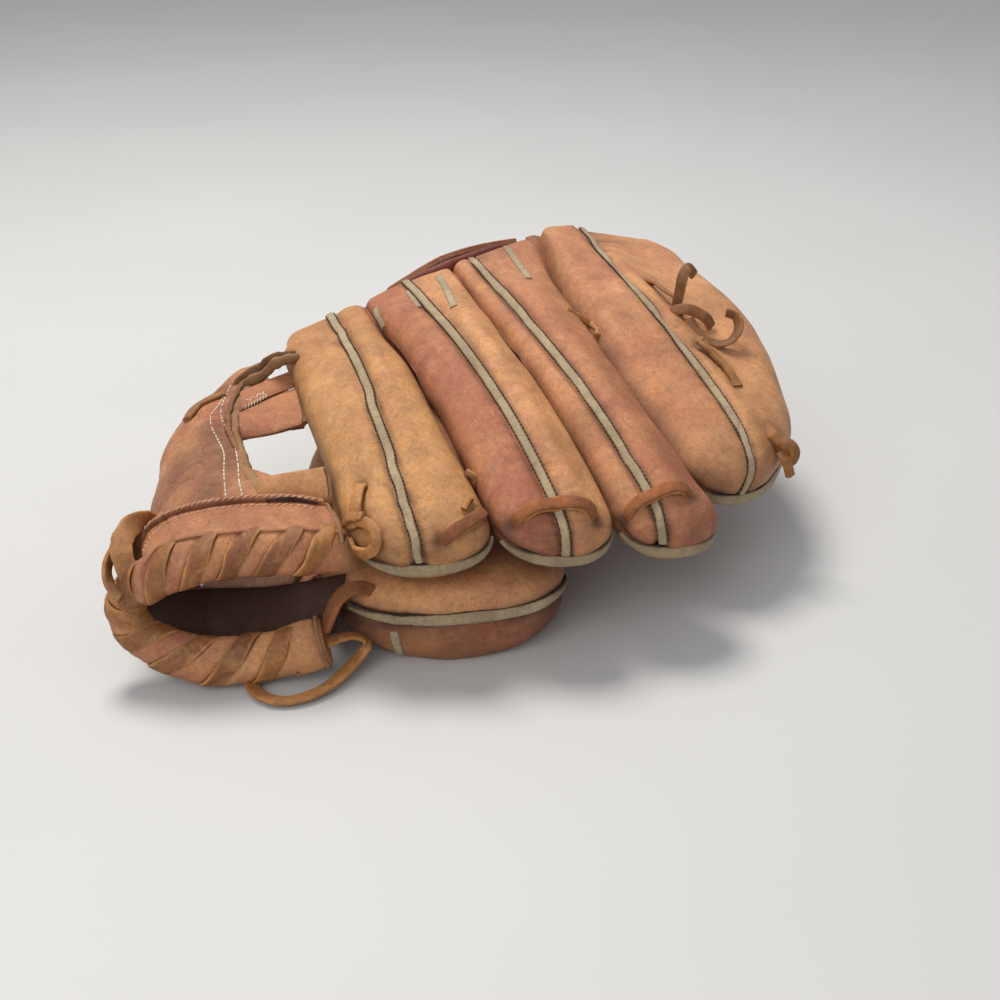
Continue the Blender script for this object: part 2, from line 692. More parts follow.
def stitches(name, path, normals, pitch=3.2, length=2.3, thick=0.65, lean=0.0, sunk=0.2,
             material=THREAD, around=8):
    """A row of thread stitches along a path, each a short rounded bar. lean turns them by degrees."""
    run = distances(path)
    count = max(int(run[-1] / pitch), 1)
    angle = 2 * np.pi * np.arange(around)[:, None] / around
    rings, faces = [], []
    for k in range(count):
        at = (k + 0.5) * pitch
        p, n = rows_at(at, run, path), unit(rows_at(at, run, normals))
        ahead = unit(rows_at(at + 0.4, run, path) - p)
        across = unit(np.cross(n, ahead))
        turn = math.radians(lean if k % 2 == 0 or lean > 0 else -lean)
        ahead, across = (ahead * math.cos(turn) + across * math.sin(turn),
                         across * math.cos(turn) - ahead * math.sin(turn))
        faces += [[v + len(rings) * around for v in face] for face in tube_faces(len(STITCH), around)]
        for x, size in STITCH:
            centre = p + ahead * (x * length / 2) + n * (thick * (0.5 - sunk) - 0.35 * x * x * thick)
            rings.append(centre + thick / 2 * size * (np.cos(angle) * across + np.sin(angle) * n))
    tone = np.repeat(0.5 + 0.4 * line_noise(np.arange(count) * 9.0, 7, 3), len(STITCH) * around)
    return finish(make(name, np.concatenate(rings), faces, dict(tone=tone, dirt=0.08, proud=0.6),
                       material))


def even(points, pitch):
    """Points along a line, a pitch apart."""
    run = distances(points)
    return rows_at(np.linspace(0, run[-1], max(int(run[-1] / pitch), 8)), run, points)


def calm(table, reach):
    """The rows of a table, each the mean of its neighbours; the ends stay."""
    half = reach // 2
    padded = np.concatenate([2 * table[0] - table[half:0:-1], table,
                             2 * table[-1] - table[-2:-half - 2:-1]])
    return np.stack([np.convolve(column, np.ones(reach) / reach, "valid") for column in padded.T],
                    axis=-1)


def snap(tree, points):
    """The nearest points of a surface, with its normals, both smoothed along the line."""
    near = [tree.find_nearest(Vector(in_metres(p))) for p in points]
    where = np.array([in_mm(hit[0]) for hit in near])
    normals = np.array([np.array(hit[1]) for hit in near])
    return calm(calm(where, 5), 5), unit(calm(calm(normals, 9), 9))


WELT_SHOWN = 3.6         # what the leather beside it leaves of a welt
WELT_PITCH, PIPING_PITCH = 1.5, 1.2


def back_welt(stall, i):
    """The strip along a stall's back, and the dark stitch holes along its edges."""
    s = stations(stall, 0.0, 100, 60)
    line, share = mix(*stall["welt"], s), tip_share(s, stall)
    keep = np.abs(line) < share * 0.995
    path = on_stall(back, i, stall, s[keep], line[keep] / share[keep])
    path, out = snap(surfaces[stall["name"]], even(path, WELT_PITCH))
    side, out = frame_along(path, out)
    run = np.arange(len(path)) * WELT_PITCH
    name = stall["name"] + "_welt"
    piece = strip(name, path, side, out, WELT_SHOWN, 2.4, WELT, low=-0.5,
                  tone=0.3 + 0.4 * line_noise(run, 25, i + 4),
                  dirt=0.12 + 0.25 * np.abs(line_noise(run, 18, i)), rough=0.07, seed=i, crown=0.02)
    finish(piece, stall["name"] + "_back_welt")
    half = WELT_SHOWN / 2 + 0.25
    for edge, where in ((-1, "left"), (1, "right")):
        stitches(f"{name}_seam_{where}", path + out * 1.0 + side * (half * edge), out, pitch=2.1,
                 length=1.5, thick=0.7, sunk=0.1, material=HOLE)


def tip_welt(layout, i, stall, reach, drop, width):
    """The strip round a tip at its seams' level, dropped by a share of its depth, and its seam."""
    name = stall["name"]
    u = np.linspace(-reach, reach, 240)
    s = stall["tip"] - 0.0005 - stall["round"] * (1 - (1 - np.abs(u) ** TIP_POWER) ** (1 / TIP_POWER))
    line = stall_point(layout, i, stall, s, u / np.maximum(tip_share(s, stall), 0.01),
                       0 * s - drop * (1 - u ** 4))
    up = layout.normals(np.array([stall["tip"] - 0.02]))[i][0]
    path, out = snap(surfaces[name], even(line, PIPING_PITCH))
    side = unit(np.cross(tangents(path), out))
    side = side * np.sign(np.sum(side * up, axis=-1, keepdims=True))
    run = np.arange(len(path)) * PIPING_PITCH
    dirt = 0.15 + 0.3 * np.abs(line_noise(run, 12, i)) + 0.4 * bell(np.minimum(run, run[-1] - run), 14)
    finish(strip(name + "_tip_piping", path, side, out, width, 2.6, WELT, low=-0.7,
                 tone=0.4 + 0.4 * line_noise(run, 25, i + 9), dirt=dirt, rough=0.06, seed=i + 20,
                 crown=0.12, taper=14), name + "_tip_welt")
    finish(strip(name + "_tip_seam", path + side * (width / 2), side, out, 0.9, 1.2, HOLE, low=0.2,
                 rough=0.2, taper=14, dirt=0.6))


for i, stall in enumerate(STALLS):
    back_welt(stall, i)
    tip_welt(back, i, stall, 0.95, 0.16, 5.4)
tip_welt(thumb, 0, THUMB, 0.97, 0.05, 4.8)

# Web
WEB_ROWS = [spline(place(*row)) for row in (
    ([-.359, -.365, -.330, -.218], [.196, .391, .570, .735], [.582, .620, .640, .715]),
    ([-.468, -.455, -.390, -.275], [.222, .440, .610, .760], [.560, .570, .600, .660]),
    ([-.580, -.520, -.445, -.310], [.262, .470, .630, .765], [.345, .400, .440, .560]),
    ([-.532, -.480, -.400, -.282], [.215, .430, .600, .740], [.130, .160, .240, .430]),
    ([-.391, -.373, -.318, -.227], [.185, .350, .520, .700], [.085, .085, .140, .330]),
)]
WEB_INDEX, WEB_THUMB = (0.84, 0.06), (0.80, 0.12)
POST = (1 / 6, 5 / 6)
POST_WAIST = 0.5
POST_SWELL = 4.5
POST_TRIM = 0.2        # how much shorter the panel is on the thumb's side


def web_surface(a, b):
    """The web's middle surface: a from the rim to the wrist, b from the index finger to the thumb."""
    a, b = np.broadcast_arrays(np.asarray(a, float), np.asarray(b, float))

    def beside(layout, span):
        e = layout.edges(mix(*span, a))
        return e[0] - 3 * FIT_GAP * unit(e[1] - e[0])
    return through(np.stack([beside(back, WEB_INDEX), *[row(a) for row in WEB_ROWS],
                             beside(thumb, WEB_THUMB)]), b)


def sheet_between(name, surface, a_span, b_span, a_steps, b_steps, thick, material, relief=None,
                  tone=0.6, dirt=0.1, flip=False):
    """A sheet of leather over a surface of two parameters, with rounded edges all round."""
    a = np.linspace(*a_span, a_steps)[:, None] + np.zeros(b_steps)
    b = np.linspace(*b_span, b_steps) + np.zeros((a_steps, 1))
    middle = surface(a, b)
    normal = unit(np.cross(np.gradient(middle, axis=0), np.gradient(middle, axis=1)))
    if flip:
        normal = -normal
    near = np.minimum(from_ends(a_steps)[:, None], from_ends(b_steps))
    half = thick / 2 * np.sqrt(1 - (1 - np.clip((near + 0.6) / 2, 0, 1)) ** 2)
    lift = relief(a, b, middle) if relief else 0 * a
    top = middle + normal * (half + lift)[..., None]
    low = middle - normal * (half - lift)[..., None]
    n = a_steps * b_steps
    faces = grid_faces(a_steps, b_steps, False)
    loop = np.concatenate([np.arange(b_steps), np.arange(2, a_steps + 1) * b_steps - 1,
                           n - 2 - np.arange(b_steps - 1), np.arange(a_steps - 2, 0, -1) * b_steps])
    after = np.roll(loop, -1)
    rim = np.stack([loop, after, after + n, loop + n], axis=-1)
    edge = bell(near, 1.2)
    tone, dirt = (value(a, b, middle) if callable(value) else value for value in (tone, dirt))
    one = dict(tone=tone + 0.15 * noise(middle, 22, 3) + 0 * a,
               dirt=np.clip(dirt + 0.25 * edge, 0, 1) + 0 * a,
               proud=np.clip(0.5 + lift + 0.4 * edge, 0, 1) + 0 * a)
    return make(name, np.concatenate([top.reshape(-1, 3), low.reshape(-1, 3)]),
                np.concatenate([faces, faces[:, ::-1] + n, rim]),
                {k: np.concatenate([v.reshape(-1)] * 2) for k, v in one.items()}, material)


def leather_relief(size, seed, folds):
    """The lumps and the sunk folds of a sheet of leather, in millimetres."""
    def relief(a, b, middle):
        lift = size * (0.9 * noise(middle, 24, seed) + 0.3 * noise(middle, 9, seed + 1))
        return lift - folds * wrinkles(middle, [0.4, 1, 1.6], 8, seed + 2, 5)
    return relief


def post_surface(a, b):
    """The web's surface, with the panel's thumb side drawn in beside the opening."""
    ends = a * (1 - POST_TRIM * smooth((b - 0.45) / 0.25))
    return web_surface(ends, POST[0] + (b - POST[0]) * (1 - POST_WAIST * bell(a - 0.5, 0.24)))


def post_relief(a, b, middle):
    swell = POST_SWELL * bell(a - 0.66, 0.2) * bell(b - 0.48, 0.17)
    return leather_relief(0.9, 31, 0.9)(a, b, middle) + swell


def post_tone(a, b, middle):
    return 0.5 + 0.3 * smooth((0.35 - np.abs(a - 0.6)) * 4) * (b < 0.4) + 0.25 * noise(middle, 16, 35)


def post_dirt(a, b, middle):
    return np.clip(0.38 + 0.4 * noise(middle, 12, 36), 0, 1)


finish(sheet_between("web_post_panel", post_surface, (0.05, 0.97), POST, 150, 170, PANEL, BROWN,
                     post_relief, post_tone, post_dirt), "web_post")


def leaning(a, b):
    """The web's surface where the upper strap widens towards the panel."""
    return web_surface(0.9 - (0.9 - a) * mix(0.68, 1.4, b / POST[0]), b)


STRAP_SPAN = (.004, POST[0] - .004)
for name, side, surface, a_span, b_span, thick in (
        ("web_front_strap", "index", web_surface, (.062, .25), STRAP_SPAN, PANEL),
        ("web_front_strap", "thumb", web_surface, (.062, .25), (.66, .996), PANEL + .8),
        ("web_back_strap", "index", leaning, (.65, .9), STRAP_SPAN, PANEL),
        ("web_back_strap", "thumb", web_surface, (.5, .76), (.62, .996), PANEL + .8)):
    finish(sheet_between(f"{name}_{side}_leather", surface, a_span, b_span, 46, 60, thick, BROWN,
                         leather_relief(0.4, 37, 0.2), 0.7), f"{name}_{side}")

# The rim's rolled band and the lace wound round it
RIM = spline(place([-.262, -.341, -.445, -.550, -.627, -.614, -.523, -.400, -.305],
                   [.130, .126, .157, .174, .209, .200, .140, .109, .080],
                   [.470, .500, .500, .460, .335, .190, .110, .109, .160]))
RIM_FACING = np.array([0, -0.88, 0.48])
RIM_BEND, RIM_PINCH = 0.55, 0.22
RIM_AROUND = 48
SLANT = 0.016        # how far along the rim each turn leans on the side that shows


def around_rim(t, angle, extra):
    """A point round the rim's band, extra millimetres off it."""
    ahead = unit(RIM(t + 0.002) - RIM(t - 0.002))
    side = unit(np.cross(ahead, RIM_FACING))
    out = unit(np.cross(side, ahead))
    narrow = 1 - RIM_PINCH * bell(t - RIM_BEND, 0.16)
    return RIM(t) + side * ((BAR_WIDTH / 2 * narrow + extra) * np.cos(angle))[..., None] \
        + out * ((BAR_THICK / 2 + extra) * np.sin(angle))[..., None]


turns = np.linspace(0, BAR_TURNS, BAR_TURNS * RIM_AROUND + 1)
wound_at = mix(0.05, 0.95, turns / BAR_TURNS) - SLANT * np.cos(2 * np.pi * turns)
lace_line = around_rim(wound_at, 2 * np.pi * turns, 0)
lace_tree = BVHTree.FromPolygons(
    [Vector(p) for p in np.concatenate([lace_line, lace_line + 0.01])],
    [(k, k + 1, k + 1 + len(turns), k + len(turns)) for k in range(len(turns) - 1)])
t, angle = tube_grid((0, 1), 260, RIM_AROUND)
rim_skin = around_rim(t, angle, 0)
gap = np.array([lace_tree.find_nearest(Vector(p))[3] for p in rim_skin.reshape(-1, 3)])
gap = gap.reshape(t.shape)
press = bell(gap, 3.0)
rim_skin = rim_skin + unit(RIM(t) - rim_skin) * (
    1.0 * press - 0.5 * bell(gap - 5, 2.5) - 0.5 * noise(rim_skin, 9, 44))[..., None]
rim_values = dict(tone=0.6 + 0.4 * noise(rim_skin, 18, 45), dirt=0.08 + 0.6 * bell(gap - 2.8, 1.0),
                  proud=1 - press)
finish(loft("web_rim_band", put_on_floor(rim_skin, 1.0), rim_values, BROWN), "web_rim")
side, outs = frame_along(lace_line, unit(lace_line - RIM(wound_at)))
wound = strip("web_rim_lacing", lace_line, side, outs, 8.2, 1.2, LACE, low=-0.6,
              tone=0.75 + 0.5 * line_noise(turns * 30, 20, 5), rough=0.07, crown=0.25,
              dirt=np.clip(0.15 + 0.4 * line_noise(turns * 30, 9, 6), 0, 1), edge_dirt=0.0,
              edge_tone=-1.0)
lift_to_floor(wound)
finish(wound, "web_rim_lace")

# Palm
PALM_SPAN = (0.02, 0.5)
PALM_LIFT = (1.5, 0.2)
POCKET_FLOOR = (95, 30)


def palm_row(s):
    """A line across the palm at s, from the little finger's side over the thumb to the floor."""
    apart = FIT_GAP + LEATHER / 2

    def under_at(q):
        return mix(under_of(STALLS[2], s), under_of(STALLS[3], s), smooth((q - 2.5) * 2))
    upper = [back.at(s, q, -under_at(q) - apart - PALM_LIFT[q >= 1])
             for q in (3.7, 3, 2.5, 2, 1.5, 1, .55, .2)]
    lower = [on_stall(thumb, 0, THUMB, s, np.array(u), apart + LEATHER / 2)
             for u in (-.72, -.35, .1, .5, .8)]
    far = mix(*POCKET_FLOOR, smooth(s / PALM_SPAN[1]))
    beside = []
    for reach, share in ((5.4, 1.1), (6, .4), (14, 0), (far * .6, 0), (far, 0)):
        p = thumb.at(s, 1 + reach / thumb.width(s, 0), 0.0)
        beside.append(np.array([p[0], p[1], max(p[2] * share, LEATHER / 2 + FIT_GAP)]))
    return spline([*upper, *lower, *beside])


palm_curves = [palm_row(np.array(s)) for s in np.linspace(*PALM_SPAN, 60)]
palm = sheet_between("palm_leather_sheet", lambda a, b: np.stack([c(b[0]) for c in palm_curves]),
                     PALM_SPAN, (0.003, 0.997), len(palm_curves), 200, LEATHER, PALM,
                     leather_relief(0.25, 51, 0.25), 0.5)
lift_to_floor(palm)
finish(palm, "palm")

# Heel, wrist binding and wrist strap
HEEL_LINE = spline(place([-.060, .200, .450, .640, .755], [.859, .878, .940, .996, 1.010], [0] * 5))
HEEL_UP = spline([[u, 0, 0] for u in (.9, 1, 1.05, 1.05, .95)])
HEEL_SQUARE = 2 / 3
t, angle = tube_grid((0, 1), 110, 72)
ahead = unit(HEEL_LINE(t + 0.01) - HEEL_LINE(t - 0.01))
across = np.stack([ahead[..., 1], -ahead[..., 0], 0 * t], axis=-1)
share = (1 - (np.abs(2 * t - 1) * 0.995) ** 8) ** (1 / 8)
tall = HEEL_TALL * HEEL_UP(t)[..., 0]
wide = signed_power(np.cos(angle), HEEL_SQUARE) * HEEL_THICK / 2
high = signed_power(np.sin(angle), HEEL_SQUARE) * tall * 0.56
heel_skin = HEEL_LINE(t) + across * (wide * share)[..., None]
heel_skin[..., 2] += tall * 0.44 + high * share
bulge = 0.7 * noise(heel_skin, 22, 61) + 0.3 * noise(heel_skin, 9, 62)
seam = bell(heel_skin[..., 2] - tall * 0.72, 2.0)
outward = unit(across * np.sign(np.cos(angle))[..., None])
heel_skin = heel_skin + outward * (bulge - 1.4 * seam)[..., None] * 0.8
finish(loft("heel_padding", put_on_floor(heel_skin),
            dict(tone=0.6 + 0.3 * noise(heel_skin, 25, 63), dirt=0.1 + 0.5 * seam,
                 proud=np.clip(0.5 + bulge, 0, 1)), PALM), "heel_pad", padded=PADDING)

WRIST_SPAN = (1.3, 2.86)


def binding_top(q):
    return top_of(STALLS[0], 0) + BINDING_RISE * np.maximum(q - 3, 0)


def wrist(q, away, v):
    return back.at(-away / REACH, q, v)


q, angle = tube_grid(WRIST_SPAN, 130, 20)
from_end = np.minimum(q - WRIST_SPAN[0], WRIST_SPAN[1] - q)
roll = (1 + 0.06 * line_noise(q * 60, 8, 71)) * (1 - 0.75 * bell(from_end, 0.22))
binding_skin = wrist(q, 2 * FIT_GAP + BINDING_WIDTH / 2 * (1 - np.cos(angle) * roll),
                     binding_top(q) - BINDING_THICK * 0.35 + BINDING_THICK / 2 * np.sin(angle) * roll)
finish(loft("wrist_binding_roll", binding_skin,
            dict(tone=0.4 + 0.4 * line_noise(q * 60, 14, 72),
                 dirt=0.15 + 0.3 * (np.sin(angle) < -0.3), proud=np.clip(np.sin(angle), 0, 1)),
            BINDING), "wrist_binding")


def strap_surface(a, b):
    q = mix(*WRIST_SPAN, a)
    slit = BINDING_WIDTH * 1.2 + 2 * FIT_GAP + STRAP_SLIT * np.sin(np.pi * a)
    return wrist(q, slit + STRAP_WIDTH * b, binding_top(q) - LEATHER - STRAP_DROP * b)


finish(sheet_between("wrist_strap_leather", strap_surface, (0.01, 0.99), (0, 1), 120, 36, LEATHER,
                     BROWN, leather_relief(0.35, 75, 0.2), 0.75), "wrist_strap")

# Laces over the stalls, by s, u and their lift over the leather
LACES = [
    ("middle_tip_lace", 1, [.902, .874, .859, .878, .916], [-.85, -.48, .06, .46, .65],
     [-3.4, 0.9, 1.2, 0.9, -3.4]),
    ("ring_tip_lace", 2, [.89, .871, .853, .857, .874], [-.95, -.7, -.3, .14, .42],
     [-3.4, 0.9, 1.2, 0.9, -3.4]),
    ("index_right_lace", 0, [.95, .91, .87, .83, .8], [.14, .5, .74, .87, .97],
     [-3.0, .9, 1.4, 1.6, -3.0]),
]
for k, (name, i, s, u, lift) in enumerate(LACES):
    line = spline(list(zip(s, u, lift)))(np.linspace(0, 1, 110))
    path = even(on_stall(back, i, STALLS[i], line[:, 0], line[:, 1]), 0.7)
    path, outs = snap(surfaces[STALLS[i]["name"]], path)
    path = path + outs * spread(line[:, 2], len(path))[:, None]
    side, outs = frame_along(path, outs)
    finish(strip(name + "_rawhide", path, side, outs, LACE_WIDTH, 1.8, ROUGH_LACE, low=0.6,
                 tone=0.5 + 0.5 * line_noise(np.arange(len(path)), 18, k), rough=0.08, seed=k,
                 crown=0.1, edge_dirt=0.1), name)
    finish(strip(name + "_smooth_side", path, side, outs, LACE_WIDTH + 0.5, 1.5, LACE, low=-0.5,
                 tone=0.1, rough=0.05, seed=k + 5, crown=0.0, edge_dirt=0.05))

# Lines in the photograph, in its pixels, named for the pieces that they place. A sheet has its two
# edges, and web_rim_fold reaches from the seam ridge's line to its own.
LINES = {
    "index_valley_welt": [(376, 309), (379, 318), (384, 328)],
    "middle_tuck_welt": [(409, 291), (414, 299), (421, 308)],
    "middle_valley_welt": [(439, 276), (447, 291), (454, 307)],
    "ring_valley_welt": [(506, 247), (515, 260), (529, 279)],
    "web_stitches_left": [(226, 392), (219, 405), (211, 416), (212, 428), (218, 440), (224, 454),
                          (224, 474), (226, 499)],
    "web_stitches_right": [(231, 385), (221, 411), (226, 429), (234, 444), (238, 463), (239, 480),
                           (243, 499)],
    "web_seam_ridge": [(140, 548), (146, 534), (156, 524), (172, 515), (190, 509), (215, 504),
                       (240, 501), (262, 500), (292, 500), (322, 504)],
    "web_rim_fold": [(146, 566), (152, 556), (162, 547), (178, 542), (198, 538), (222, 535),
                     (248, 533), (275, 532), (305, 531), (338, 534)],
    "web_seam_slit": [(266, 500), (292, 499), (318, 503)],
    "web_cross_upper": ([(240, 393), (268, 381), (296, 370)], [(241, 411), (268, 398), (298, 386)]),
    "web_cross_lower": ([(239, 414), (268, 401), (299, 388)], [(240, 441), (273, 434), (306, 424)]),
    "web_cross_raw_end": [(294, 369), (300, 376), (300, 391), (304, 404), (305, 423)],
    "web_zigzag_lower": [(244, 408), (256, 402), (268, 395)],
    "web_zigzag_upper": [(246, 401), (257, 396), (268, 391)],
    "web_corner_edge": [(235, 402), (241, 389), (250, 381), (260, 377), (268, 371), (275, 364),
                        (285, 360), (298, 357)],
    "web_corner_fold": [(231, 392), (239, 380), (249, 373), (259, 368), (266, 361), (277, 356),
                        (296, 353)],
    "web_fold_lace": [(226, 394), (212, 400), (197, 409), (188, 421)],
    "web_front_flap": ([(256, 479), (290, 473), (326, 467)], [(257, 501), (295, 499), (333, 503)]),
    "web_front_flap_end": [(325, 468), (328, 480), (331, 500)],
    "web_rim_upper_end": [(326, 505), (333, 512), (338, 524), (341, 540), (342, 556), (341, 568)],
    "web_side_loop_upper": [(162, 530), (147, 521), (134, 524), (125, 534), (121, 546), (123, 559),
                            (129, 573), (137, 586)],
    "web_side_lace_under": [(150, 524), (142, 534), (138, 547), (138, 560), (142, 574)],
    "web_side_lace_rawhide": [(121, 544), (112, 554), (107, 567), (108, 580), (114, 590), (123, 596)],
    "thumb_side_lace": [(325, 630), (331, 613), (338, 599), (350, 589), (365, 588), (379, 597)],
    "floor_lace_rawhide": [(246, 668), (249, 682), (262, 698), (288, 703), (324, 691), (353, 666),
                           (365, 650), (360, 640), (345, 639), (326, 646)],
    "web_lower_panel": ([(138, 594), (205, 590), (262, 588), (304, 582), (346, 574)],
                        [(148, 632), (212, 642), (268, 650), (304, 642), (336, 632)]),
    "web_inner_panel": ([(216, 564), (262, 560), (300, 560)], [(198, 594), (246, 596), (286, 596)]),
    "web_inner_edge": [(302, 562), (296, 576), (287, 594)],
    "little_lace_start": [(646, 281), (653, 288), (661, 297), (672, 307)],
    "little_lace_tail": [(694, 345), (702, 351), (714, 360), (727, 373), (737, 386)],
    "little_knot_loop_up": [(678, 316), (677, 304), (680, 290), (683, 276), (688, 268), (694, 275)],
    "little_knot_wrap": [(671, 322), (672, 313), (681, 309), (694, 311), (706, 318), (711, 326)],
    "little_knot_under": [(676, 321), (686, 324), (694, 330), (699, 341), (697, 348)],
    "little_knot_curl": [(689, 319), (696, 331), (706, 340), (720, 344), (732, 340), (739, 328),
                         (736, 316), (727, 312)],
    "little_tip_tab": [(765, 427), (773, 435), (783, 443), (792, 450)],
    "little_tip_knot": [(779, 450), (783, 444), (790, 445), (794, 452), (791, 460), (784, 459)],
    "little_tip_wrap": [(780, 452), (785, 459), (788, 467), (790, 475)],
    "index_left_tab": [(363, 486), (361, 498), (360, 510), (359, 521)],
    "index_left_loop": [(352, 526), (362, 525), (372, 527), (380, 534), (381, 545), (372, 551),
                        (360, 548), (354, 541)],
    "index_left_band": [(350, 524), (358, 520), (371, 521)],
    "index_edge_knob": [(465, 475), (469, 481), (472, 486)],
    "index_right_knob": [(463, 511), (466, 504), (470, 500)],
    "ring_valley_lace": [(566, 310), (577, 316), (590, 323), (598, 329), (598, 336)],
    "thumb_lower_welt": [(394, 631), (396, 640), (399, 650), (403, 661)],
}
# Pixels behind which the depth of a piece is taken
SPOTS = {"web_corner": (250, 378), "index_corner": (296, 362), "rim_left": (128, 600),
         "rim_low_end": (318, 625), "thumb_side": (372, 598), "thumb_lace_end": (379, 597),
         "flap_left": (262, 490), "flap_right": (336, 487), "post_low": (215, 610),
         "little_knot": (682, 312), "little_tip": (776, 448), "ring_valley_start": (566, 308),
         "ring_valley_middle": (585, 318), "ring_valley_end": (600, 332)}
EYE_MM = in_mm(EYE)


def ray(x, y):
    """The way from the eye through a pixel."""
    pixel = SENSOR / LENS / IMAGE
    return (TURN @ Vector(((x - IMAGE / 2) * pixel, (IMAGE / 2 - y) * pixel, -1))).normalized()


def pixel_line(pixels, count):
    return spline([[x, y, 0] for x, y in pixels])(np.linspace(0, 1, count))[:, :2]


def seen_on(tree, pixels, count, lift=0.0):
    """Points on a surface behind a line of pixels, lifted off it, and the surface's normals."""
    points, normals = np.full((2, count, 3), np.nan)
    for k, (x, y) in enumerate(pixel_line(pixels, count)):
        hit, normal, _, _ = tree.ray_cast(EYE, ray(x, y))
        if hit is not None:
            points[k], normals[k] = in_mm(hit), -normal if normal.dot(ray(x, y)) > 0 else normal
    good = ~np.isnan(points[:, 0])
    index = np.arange(count)
    points, normals = (rows_at(index, index[good], table[good]) for table in (points, normals))
    kernel = np.ones(5) / 5
    normals = unit(np.stack([np.convolve(np.pad(column, 2, mode="edge"), kernel, "valid")
                             for column in normals.T], axis=-1))
    return points + normals * spread(lift, count)[:, None], normals


def at_depth(pixels, depths, count):
    """Points in the air behind a line of pixels, at distances from the eye in millimetres."""
    return np.array([in_mm(EYE + ray(x, y) * (d / 1000))
                     for (x, y), d in zip(pixel_line(pixels, count), spread(depths, count))])


def at_height(pixels, heights, count):
    """Points behind a line of pixels, at heights over the floor in millimetres."""
    rays = [ray(x, y) for x, y in pixel_line(pixels, count)]
    return np.array([in_mm(EYE + r * ((h / 1000 - EYE.z) / r.z))
                     for r, h in zip(rays, spread(heights, count))])


def depth_at(tree, x, y):
    """How far a surface is behind a pixel, or where that line of sight passes closest to it."""
    way = ray(x, y)
    hit = tree.ray_cast(EYE, way)[0]
    if hit is not None:
        return (hit - EYE).length * 1000
    depths = np.linspace(500, 800, 301)
    return depths[np.argmin([tree.find_nearest(EYE + way * (d / 1000))[3] for d in depths])]


def depth_of(tree, spot):
    return depth_at(tree, *SPOTS[spot])


def lay(name, tree, width, thick, material, *nodes, lift=0.0, count=80, **looks):
    """A strip laid on a surface along the piece's line of pixels."""
    path, normals = seen_on(tree, LINES[name], count, lift)
    side, outs = frame_along(path, normals)
    return finish(strip(name, path, side, outs, width, thick, material, **looks), *nodes)


def lace_in_air(name, far, depths, width=LACE_WIDTH, thick=LACE_THICK, turn=0.0, count=90, nodes=(),
                material=LACE, **looks):
    """A lace through the air behind the piece's line of pixels, at depths from far in millimetres,
    with its flat side turned by degrees."""
    path = at_depth(LINES[name], far + np.array(depths), count)
    side, out = frame_along(path, unit(EYE_MM - path))
    t = np.radians(spread(turn, count))[:, None]
    side, out = side * np.cos(t) + out * np.sin(t), out * np.cos(t) - side * np.sin(t)
    looks = dict(dict(low=-thick / 2, rough=0.06, edge_dirt=0.0, edge_tone=-0.4, face_dirt=0.25),
                 **looks)
    return finish(strip(name, path, side, out, width, thick, material, **looks), *nodes)


def sheet_over(name, a, b, normals, thick, material, tone=0.6, dirt=0.1, bulge=0.0, across=26,
               seed=0):
    """A sheet of leather between two rows of points, raised by bulge along its middle."""
    normals = np.broadcast_to(normals, a.shape)

    def surface(u, v):
        w = v[..., None]
        return a[:, None] * (1 - w) + b[:, None] * w \
            + normals[:, None] * (bulge * 4 * v * (1 - v))[..., None]
    flip = np.sum(np.cross(a[-1] - a[0], b[0] - a[0]) * normals[0]) < 0
    return finish(sheet_between(name, surface, (0, 1), (0, 1), len(a), across, thick, material,
                                leather_relief(0.3, seed, 0.1), tone, dirt, flip))


# Valleys between the stalls, and the pale strips in them beside the wrist
def valley(q0):
    def surface(a, b):
        top = top_of(STALLS[0], a) * (1.0 if q0 < 3 else 1.3)
        level = mix(0.85, 0.05, smooth((a + 0.01) / 0.2)) - 0.4 * smooth((a - 0.4) / 0.3)
        return back.at(a, q0 + b, top * level * (0.9 + 0.2 * (b / 0.1) ** 2 * (q0 < 3)))
    return surface


for q0 in (1, 2, 3):
    finish(sheet_between(f"valley_{q0}", valley(q0), (-0.008, 0.7), (-0.1, 0.1), 90, 14, 2.0, BROWN,
                         tone=0.9, dirt=0.45))
all_stalls = surface_of(*[s["name"] + "_stall" for s in STALLS], "valley_1", "valley_2", "valley_3")
for name in ("index_valley_welt", "middle_tuck_welt", "middle_valley_welt", "ring_valley_welt"):
    lay(name, all_stalls, 3.6, 1.6, WELT, low=-0.9, count=36, rough=0.1, tone=0.35, dirt=0.12,
        crown=0.1)

# The web's raw edge beside the opening, and the lock stitches down its panel
EDGE_STEPS, FOLD_STEPS = 170, 130
a = np.linspace(0.965, 0.09, EDGE_STEPS)
wave = 1.2 * line_noise(a * 180, 14, 2) + 0.5 * line_noise(a * 180, 6, 4)
edge = web_surface(a, POST[0] + wave / 260)
inward = web_surface(a, POST[0] + 0.04) - edge
out = unit(np.cross(np.gradient(edge, axis=0), inward))
out = out * np.sign(np.sum(out * (EYE_MM - edge), axis=-1, keepdims=True))
side, out = frame_along(edge, out)
finish(strip("web_raw_edge", edge, side, out, 5.2, 6.0, SUEDE, low=-3.4, rough=0.16, tone=0.45,
             dirt=0.25, seed=3, crown=0.12))
fade = smooth(from_ends(FOLD_STEPS) / 30)[:, None]
edge, side, out, inward = (table[:FOLD_STEPS] for table in (edge, side, out, inward))
finish(strip("web_raw_edge_fold", edge + (out * 2.2 + unit(inward) * 2.6) * fade, side, out, 2.6,
             2.2, SUEDE, rough=0.25, tone=0.8, dirt=0.35, seed=8, taper=9))
post_tree = surface_of("web_post_panel")
for name in ("web_stitches_left", "web_stitches_right"):
    stitches(name, *seen_on(post_tree, LINES[name], 140))

